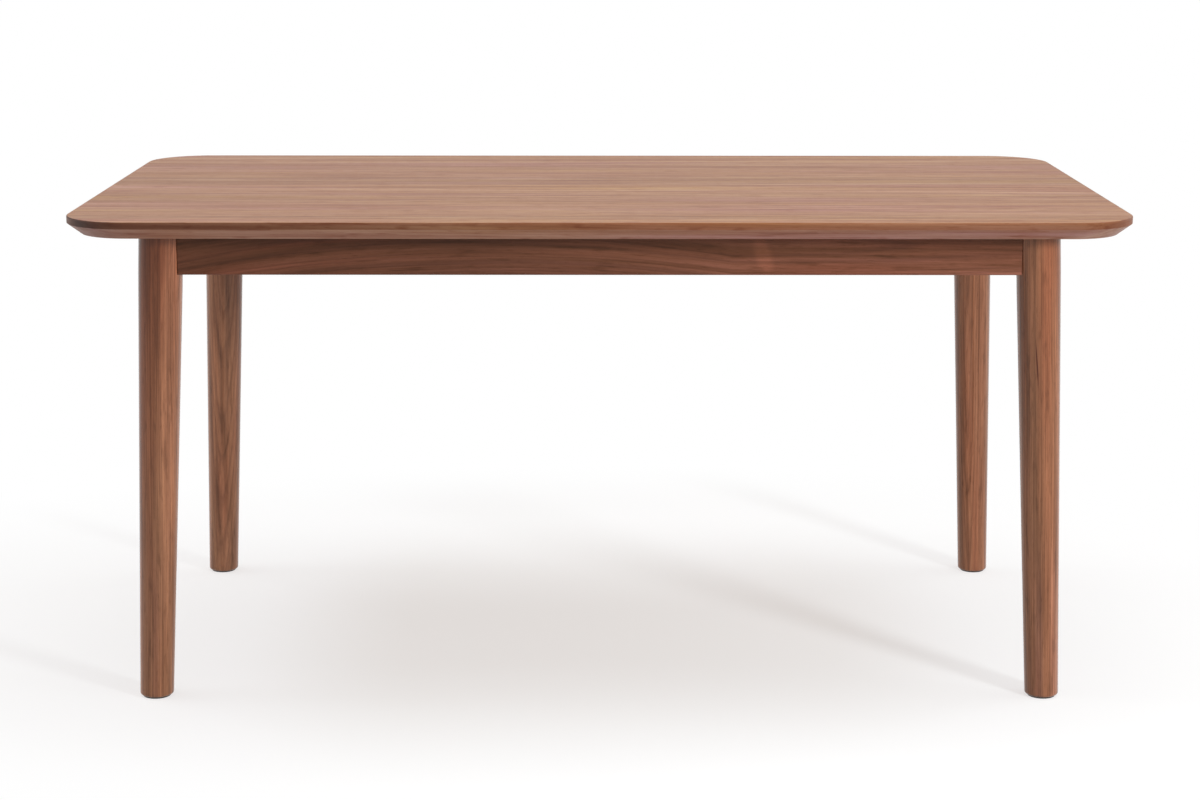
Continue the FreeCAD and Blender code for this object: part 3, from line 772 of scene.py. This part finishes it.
def startTree(name, inputs):
    tree = bpy.data.node_groups.new(name, "GeometryNodeTree")
    tree.interface.new_socket("Geometry", in_out="OUTPUT", socket_type="NodeSocketGeometry")
    for label, kind in inputs:
        tree.interface.new_socket(label, in_out="INPUT", socket_type="NodeSocket" + kind)
    return tree, addNode(tree, "NodeGroupInput", {}, {}).outputs


def startFastener(name, values):
    inputs = [("Places", "Geometry"), ("Length", "Float"), ("Segments", "Int"), ("Seed", "Int"),
              ("Material", "Material")]
    lengths = [(label, "Float") for label in values if label not in ("Segments", "Seed")]
    return startTree(name, inputs + lengths)


def step(tree, kind, inputs, settings=None):
    return addNode(tree, "GeometryNode" + kind, settings or {}, inputs).outputs[0]


def joined(tree, bodies):
    join = addNode(tree, "GeometryNodeJoinGeometry", {}, {})
    for body in bodies:
        tree.links.new(body, join.inputs[0])
    return join.outputs[0]


def narrowed(tree, axes, share):
    return point(tree, product(tree, axes["X"], share), product(tree, axes["Y"], share), axes["Z"])


def lineThrough(tree, points, closed=False):
    # a line of straight runs through points given as pairs of radius and height
    pick = addNode(tree, "GeometryNodeIndexSwitch", {"data_type": "VECTOR"}, {})
    while len(pick.index_switch_items) < len(points):
        pick.index_switch_items.new()
    tree.links.new(step(tree, "InputIndex", {}), pick.inputs[0])
    for number, (radius, height) in enumerate(points):
        tree.links.new(point(tree, radius, height, 0.0), pick.inputs[number + 1])
    line = step(tree, "MeshLine", {"Count": len(points)})
    placed = step(tree, "SetPosition", {"Geometry": line, "Position": pick.outputs[0]})
    curve = step(tree, "MeshToCurve", {"Mesh": placed})
    return step(tree, "SetSplineCyclic", {"Geometry": curve, "Cyclic": closed})


def upright(tree, curve):
    return step(tree, "SetCurveNormal", {"Curve": curve}, {"mode": "Z_UP"})


def turned(tree, outline, segments):
    # a turned body round Z, closed at its two poles
    ring = step(tree, "CurvePrimitiveCircle", {"Resolution": segments, "Radius": fasteners["hairline"]})
    sweep = {"Curve": upright(tree, ring), "Profile Curve": lineThrough(tree, outline)}
    closed = step(tree, "MergeByDistance", {"Geometry": step(tree, "CurveToMesh", sweep),
                                            "Distance": fasteners["weld"]})
    # the sweep counts heights downwards, so the body is turned over
    return step(tree, "Transform", {"Geometry": closed, "Rotation": (math.pi, 0.0, 0.0)})


def makeRidgeTree():
    # the ridge of a thread, wound along Z and fading out on the cone of the tip
    labels = ("Start", "Length", "Pitch", "Ridge Share", "Core Radius", "Crest Radius", "Tip Length",
              "Tip Share")
    tree, given = startTree("threadRidge", [(label, "Float") for label in labels] + [("Segments", "Int")])
    spiral = step(tree, "CurveSpiral", {
        "Resolution": given["Segments"], "Rotations": math1(tree, "DIVIDE", given["Length"], given["Pitch"]),
        "Start Radius": given["Core Radius"], "End Radius": given["Core Radius"], "Height": given["Length"],
    })
    axes = axesOf(tree, step(tree, "InputPosition", {}))
    cone = math1(tree, "MAXIMUM", given["Tip Length"], fasteners["hairline"])
    fade = toRange(tree, difference(tree, given["Length"], axes["Z"]), 0.0, cone, given["Tip Share"], 1.0)
    wound = step(tree, "SetPosition", {"Geometry": spiral, "Position": narrowed(tree, axes, fade),
                                       "Offset": point(tree, 0.0, 0.0, given["Start"])})
    height = difference(tree, given["Crest Radius"], given["Core Radius"])
    sunk = product(tree, height, -fasteners["sunkShare"])
    half = product(tree, given["Pitch"], product(tree, given["Ridge Share"], 0.5))
    outline = [(sunk, product(tree, half, -1.0)), (height, 0.0), (sunk, half)]
    section = lineThrough(tree, outline, closed=True)
    sweep = {"Curve": upright(tree, wound), "Profile Curve": section, "Scale": fade, "Fill Caps": True}
    addNode(tree, "NodeGroupOutput", {}, {"Geometry": step(tree, "CurveToMesh", sweep)})
    return tree


def ridge(tree, ridgeTree, given, values):
    inputs = dict(values, Segments=given["Segments"])
    return step(tree, "Group", inputs, {"node_tree": ridgeTree})


def spread(tree, given, fastener):
    # one fastener on each place, driven along the place's direction and turned at random
    angles = {0: step(tree, "InputMeshEdgeAngle", {}), 1: math.radians(fasteners["sharpAngle"])}
    sharp = addNode(tree, "FunctionNodeCompare", {"operation": "GREATER_THAN"}, angles).outputs[0]
    smooth = step(tree, "SetShadeSmooth", {"Geometry": fastener, "Shade Smooth": True}, {"domain": "FACE"})
    edged = step(tree, "SetShadeSmooth", {"Geometry": smooth, "Selection": sharp, "Shade Smooth": False},
                 {"domain": "EDGE"})
    driven = step(tree, "InputNamedAttribute", {"Name": "driven"}, {"data_type": "FLOAT_VECTOR"})
    aim = addNode(tree, "FunctionNodeAlignRotationToVector", {"axis": "Z"}, {"Vector": driven}).outputs[0]
    chance = {2: 0.0, 3: math.tau, "Seed": given["Seed"]}
    angle = addNode(tree, "FunctionNodeRandomValue", {"data_type": "FLOAT"}, chance).outputs[1]
    about = {"Axis": (0.0, 0.0, 1.0), "Angle": angle}
    both = {0: aim, 1: addNode(tree, "FunctionNodeAxisAngleToRotation", {}, about).outputs[0]}
    turn = addNode(tree, "FunctionNodeRotateRotation", {"rotation_space": "LOCAL"}, both).outputs[0]
    copies = step(tree, "InstanceOnPoints", {"Points": given["Places"], "Instance": edged, "Rotation": turn})
    real = step(tree, "RealizeInstances", {"Geometry": copies})
    coated = step(tree, "SetMaterial", {"Geometry": real, "Material": given["Material"]})
    addNode(tree, "NodeGroupOutput", {}, {"Geometry": coated})


def makeScrewTree(ridgeTree):
    tree, given = startFastener("woodScrewTree", woodScrew)
    plain = product(tree, given["Length"], given["Plain Share"])
    outline = []
    for radiusShare, heightShare in fasteners["crownShares"]:
        outline.append((product(tree, given["Head Radius"], radiusShare),
                        product(tree, given["Head Height"], heightShare)))
    outline += [
        (given["Shank Radius"], 0.0),
        (given["Shank Radius"], plain),
        (given["Core Radius"], total(tree, plain, given["Core Radius"])),
        (given["Core Radius"], difference(tree, given["Length"], given["Tip Length"])),
        (0.0, given["Length"]),
    ]
    body = turned(tree, outline, given["Segments"])

    # the cross recess is cut by two tapered bars
    deep = product(tree, given["Recess Depth"], 2.0)
    size = point(tree, given["Recess Reach"], given["Recess Width"], deep)
    bar = step(tree, "MeshCube", {"Size": size})
    axes = axesOf(tree, step(tree, "InputPosition", {}))
    taper = toRange(tree, axes["Z"], 0.0, given["Recess Depth"], 1.0, fasteners["recessTaperShare"])
    bar = step(tree, "SetPosition", {"Geometry": bar, "Position": narrowed(tree, axes, taper)})
    top = point(tree, 0.0, 0.0, product(tree, given["Head Height"], -1.0))
    settings = {"operation": "DIFFERENCE", "solver": "EXACT"}
    cut = addNode(tree, "GeometryNodeMeshBoolean", settings, {"Mesh 1": body})
    for quarter in (0.0, math.pi / 2):
        move = {"Geometry": bar, "Translation": top, "Rotation": (0.0, 0.0, quarter)}
        tree.links.new(step(tree, "Transform", move), cut.inputs["Mesh 2"])
    thread = ridge(tree, ridgeTree, given, {
        "Start": plain, "Length": difference(tree, given["Length"], plain), "Pitch": given["Pitch"],
        "Ridge Share": fasteners["woodRidgeShare"], "Core Radius": given["Core Radius"],
        "Crest Radius": given["Shank Radius"], "Tip Length": given["Tip Length"],
        "Tip Share": fasteners["tipShare"],
    })
    spread(tree, given, joined(tree, (cut.outputs[0], thread)))
    return tree


def makeBoltTree(ridgeTree):
    tree, given = startFastener("hangerBoltTree", hangerBolt)
    chamfer = given["Chamfer"]
    woodStart = difference(tree, given["Length"], given["Wood Thread"])
    outline = [
        (0.0, 0.0),
        (difference(tree, given["Nut Core"], chamfer), 0.0),
        (given["Nut Core"], chamfer),
        (given["Nut Core"], given["Nut Thread"]),
        (given["Shank Radius"], total(tree, given["Nut Thread"], chamfer)),
        (given["Shank Radius"], difference(tree, woodStart, chamfer)),
        (given["Wood Core"], woodStart),
        (given["Wood Core"], difference(tree, given["Length"], given["Tip Length"])),
        (given["Tip Radius"], given["Length"]),
        (0.0, given["Length"]),
    ]
    body = turned(tree, outline, given["Segments"])
    nutThread = ridge(tree, ridgeTree, given, {
        "Start": chamfer, "Length": difference(tree, given["Nut Thread"], chamfer),
        "Pitch": given["Nut Pitch"], "Ridge Share": fasteners["nutRidgeShare"],
        "Core Radius": given["Nut Core"], "Crest Radius": given["Crest Radius"],
        "Tip Length": 0.0, "Tip Share": 1.0,
    })
    woodThread = ridge(tree, ridgeTree, given, {
        "Start": woodStart, "Length": difference(tree, given["Wood Thread"], given["Tip Radius"]),
        "Pitch": given["Wood Pitch"], "Ridge Share": fasteners["woodRidgeShare"],
        "Core Radius": given["Wood Core"], "Crest Radius": given["Crest Radius"],
        "Tip Length": given["Tip Length"],
        "Tip Share": math1(tree, "DIVIDE", given["Tip Radius"], given["Wood Core"]),
    })
    spread(tree, given, joined(tree, (body, nutThread, woodThread)))
    return tree


def solidsOf(nodeName):
    # the loose solids of a CAD node, each as an array of its corners
    copy = bmesh.new()
    copy.from_mesh(nodes[nodeName].data)
    bmesh.ops.remove_doubles(copy, verts=copy.verts, dist=fasteners["hairline"])
    copy.verts.index_update()
    seen = set()
    solids = []
    for first in copy.verts:
        if first.index in seen:
            continue
        seen.add(first.index)
        solid = [first]
        for vert in solid:
            for edge in vert.link_edges:
                other = edge.other_vert(vert)
                if other.index not in seen:
                    seen.add(other.index)
                    solid.append(other)
        solids.append(numpy.array([vert.co[:] for vert in solid]))
    copy.free()
    return solids


def drivenPlace(solid, headHeight):
    # a slim turned solid points from its wide end, with the head or nut, to its narrow end
    middle = solid.mean(axis=0)
    way = numpy.linalg.eigh(numpy.cov((solid - middle).T))[1][:, 2]
    along = (solid - middle) @ way
    aside = numpy.linalg.norm(solid - middle - numpy.outer(along, way), axis=1)
    lowWidth = aside[along < along.min() + fasteners["rimDepth"]].max()
    highWidth = aside[along > along.max() - fasteners["rimDepth"]].max()
    if lowWidth < highWidth:
        way, along = -way, -along
    seat = middle + way * (along.min() + headHeight)
    return Vector(seat), Vector(way), float(along.max() - along.min() - headHeight)


def growFasteners(name, tree, values, nodeName, headHeight, material):
    places = [drivenPlace(solid, headHeight) for solid in solidsOf(nodeName)]
    seats = bpy.data.meshes.new(name + "_seats")
    seats.from_pydata([seat for seat, way, length in places], [], [])
    driven = seats.attributes.new("driven", "FLOAT_VECTOR", "POINT")
    for item, (seat, way, length) in zip(driven.data, places):
        item.vector = way
    carrier = addObject(name + "_carrier", seats)
    grow = carrier.modifiers.new("grow", "NODES")
    grow.node_group = tree
    sockets = {item.name: item.identifier for item in tree.interface.items_tree if item.in_out == "INPUT"}
    for label, value in values.items():
        grow[sockets[label]] = value
    grow[sockets["Length"]] = places[0][2]
    grow[sockets["Material"]] = material
    mesh = bpy.data.meshes.new_from_object(carrier.evaluated_get(bpy.context.evaluated_depsgraph_get()))
    carrier.modifiers.remove(grow)
    bpy.data.objects.remove(carrier)
    mesh.materials.clear()
    mesh.materials.append(material)
    mesh.polygons.foreach_set("material_index", [0] * len(mesh.polygons))
    mesh.attributes.remove(mesh.attributes["driven"])
    mesh.name = name
    piece = addObject(name, mesh)
    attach(piece, bodyName)
    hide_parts(nodeName)
    return piece


ridgeTree = makeRidgeTree()
screwTree = makeScrewTree(ridgeTree)
boltTree = makeBoltTree(ridgeTree)
screwPlaces = {
    "blockScrews": "corner_block_screws",
    "clipScrews": "top_clip_screws",
    "railScrews": "rail_screws",
}
screwSteel = fittingMaterials["screwPlate"]
for name, nodeName in screwPlaces.items():
    screws = growFasteners(name, screwTree, woodScrew, nodeName, woodScrew["Head Height"], screwSteel)
bolts = growFasteners("hangerBolts", boltTree, hangerBolt, "hanger_bolts", 0.0, fittingMaterials["zincPlate"])
print("screws and bolts grown")


# Floor, light and camera
studio = {
    "floorSize": 120.0,
    "floorColour": 0.55,         # what light bounced off the floor sees
    "shadowShare": (0.465, 0.51, 0.54),  # how much of the floor's brightness the shadow can take away
    "shadowMiddle": (0.03, 0.05, 0.0),
    "ovals": [                   # beyond the legs the floor is paler, and further out plain white
        {"reach": (0.66, 2.4, 1.0), "fade": (0.50, 1.0), "share": (0.30, 0.325, 0.33)},
        {"reach": (1.70, 1.05, 1.0), "fade": (0.72, 1.10), "share": (0.0, 0.0, 0.0)},
    ],
    "worldLight": 0.24,
    "suns": [                    # azimuth is counted from the front towards the right end
        {"name": "overhead", "strength": 1.06, "azimuth": 180.0, "elevation": 87.0, "angle": 46.0},
        {"name": "sideRight", "strength": 0.50, "azimuth": 97.0, "elevation": 48.0, "angle": 40.0},
        {"name": "sideLeft", "strength": 0.52, "azimuth": -102.0, "elevation": 42.0, "angle": 50.0},
        {"name": "lowLeft", "strength": 0.50, "azimuth": -92.0, "elevation": 10.0, "angle": 14.0},
    ],
    # the main lamp stands near the table, so its light falls off towards the left end
    "mainLamp": {"power": 112.0, "place": (2.80, -3.10, 1.50), "aim": (0.0, -0.20, 0.45), "size": 0.70},
}


def seenDirectly(tree):
    # rays from the camera, also by way of a shine or through clear material
    path = addNode(tree, "ShaderNodeLightPath", {}, {}).outputs
    seen = math1(tree, "MAXIMUM", path["Is Camera Ray"], path["Is Glossy Ray"])
    return math1(tree, "MAXIMUM", seen, path["Is Transmission Ray"])


def makeFloor():
    half = studio["floorSize"] / 2
    outline = [(-half, -half, 0), (half, -half, 0), (half, half, 0), (-half, half, 0)]
    mesh = bpy.data.meshes.new("floor")
    mesh.from_pydata(outline, [], [(0, 1, 2, 3)])
    floor = addObject("floor", mesh)
    material = bpy.data.materials.new("floor")
    tree = emptyTree(material)
    # the floor glows white, apart from the share of its brightness that the lamps give it
    share = opaque(studio["shadowShare"])
    for oval in studio["ovals"]:
        beyond = fadeIn(tree, distanceFrom(tree, studio["shadowMiddle"], oval["reach"]), oval["fade"])
        share = mixColour(tree, beyond, share, opaque(oval["share"]))
    rest = mixColour(tree, 1.0, white, share, "SUBTRACT")
    lit = addNode(tree, "ShaderNodeBsdfDiffuse", {}, {"Color": share}).outputs[0]
    glow = addNode(tree, "ShaderNodeEmission", {}, {"Color": rest, "Strength": 1.0}).outputs[0]
    shown = addNode(tree, "ShaderNodeAddShader", {}, {0: lit, 1: glow}).outputs[0]
    grey = opaque((1.0, 1.0, 1.0), studio["floorColour"])
    plain = addNode(tree, "ShaderNodeBsdfDiffuse", {}, {"Color": grey}).outputs[0]
    both = addNode(tree, "ShaderNodeMixShader", {}, {0: seenDirectly(tree), 1: plain, 2: shown}).outputs[0]
    addNode(tree, "ShaderNodeOutputMaterial", {}, {"Surface": both})
    mesh.materials.append(material)


def makeWorld():
    world = bpy.data.worlds.new("studio")
    bpy.context.scene.world = world
    tree = emptyTree(world)
    strength = toRange(tree, seenDirectly(tree), 0.0, 1.0, studio["worldLight"], 1.0)
    back = addNode(tree, "ShaderNodeBackground", {}, {"Color": white, "Strength": strength}).outputs[0]
    addNode(tree, "ShaderNodeOutputWorld", {}, {"Surface": back})


def hangLamp(name, kind, settings, direction):
    data = bpy.data.lights.new(name, kind)
    for setting, value in settings.items():
        setattr(data, setting, value)
    lamp = addObject(name, data)
    lamp.rotation_mode = "QUATERNION"
    lamp.rotation_quaternion = direction.to_track_quat("Z", "Y")
    return lamp


def makeLamps():
    for sun in studio["suns"]:
        azimuth = math.radians(sun["azimuth"])
        elevation = math.radians(sun["elevation"])
        level = math.cos(elevation)
        direction = Vector((math.sin(azimuth) * level, -math.cos(azimuth) * level, math.sin(elevation)))
        settings = {"energy": sun["strength"], "angle": math.radians(sun["angle"])}
        hangLamp(sun["name"], "SUN", settings, direction)
    main = studio["mainLamp"]
    settings = {"shape": "DISK", "size": main["size"], "energy": main["power"]}
    lamp = hangLamp("mainLamp", "AREA", settings, Vector(main["place"]) - Vector(main["aim"]))
    lamp.location = main["place"]
    lamp.visible_camera = False
    lamp.visible_glossy = False


camera = {
    "place": (-0.01362, -4.03414, 1.24598),
    "pitch": 0.20791,            # radians below the horizon
    "yaw": -0.00379,
    "roll": 0.00111,
    "lens": 73.95,
    "sensor": 36.0,
}


def makeCamera():
    data = bpy.data.cameras.new("camera")
    data.lens = camera["lens"]
    data.sensor_width = camera["sensor"]
    view = addObject("camera", data)
    turn = Matrix.Rotation(camera["yaw"], 4, "Z")
    turn = turn @ Matrix.Rotation(math.pi / 2 - camera["pitch"], 4, "X")
    turn = turn @ Matrix.Rotation(camera["roll"], 4, "Z")
    view.matrix_world = Matrix.Translation(camera["place"]) @ turn
    bpy.context.scene.camera = view


makeFloor()
makeWorld()
makeLamps()
makeCamera()
bpy.context.scene.view_settings.view_transform = "Standard"
print("floor, light and camera set")
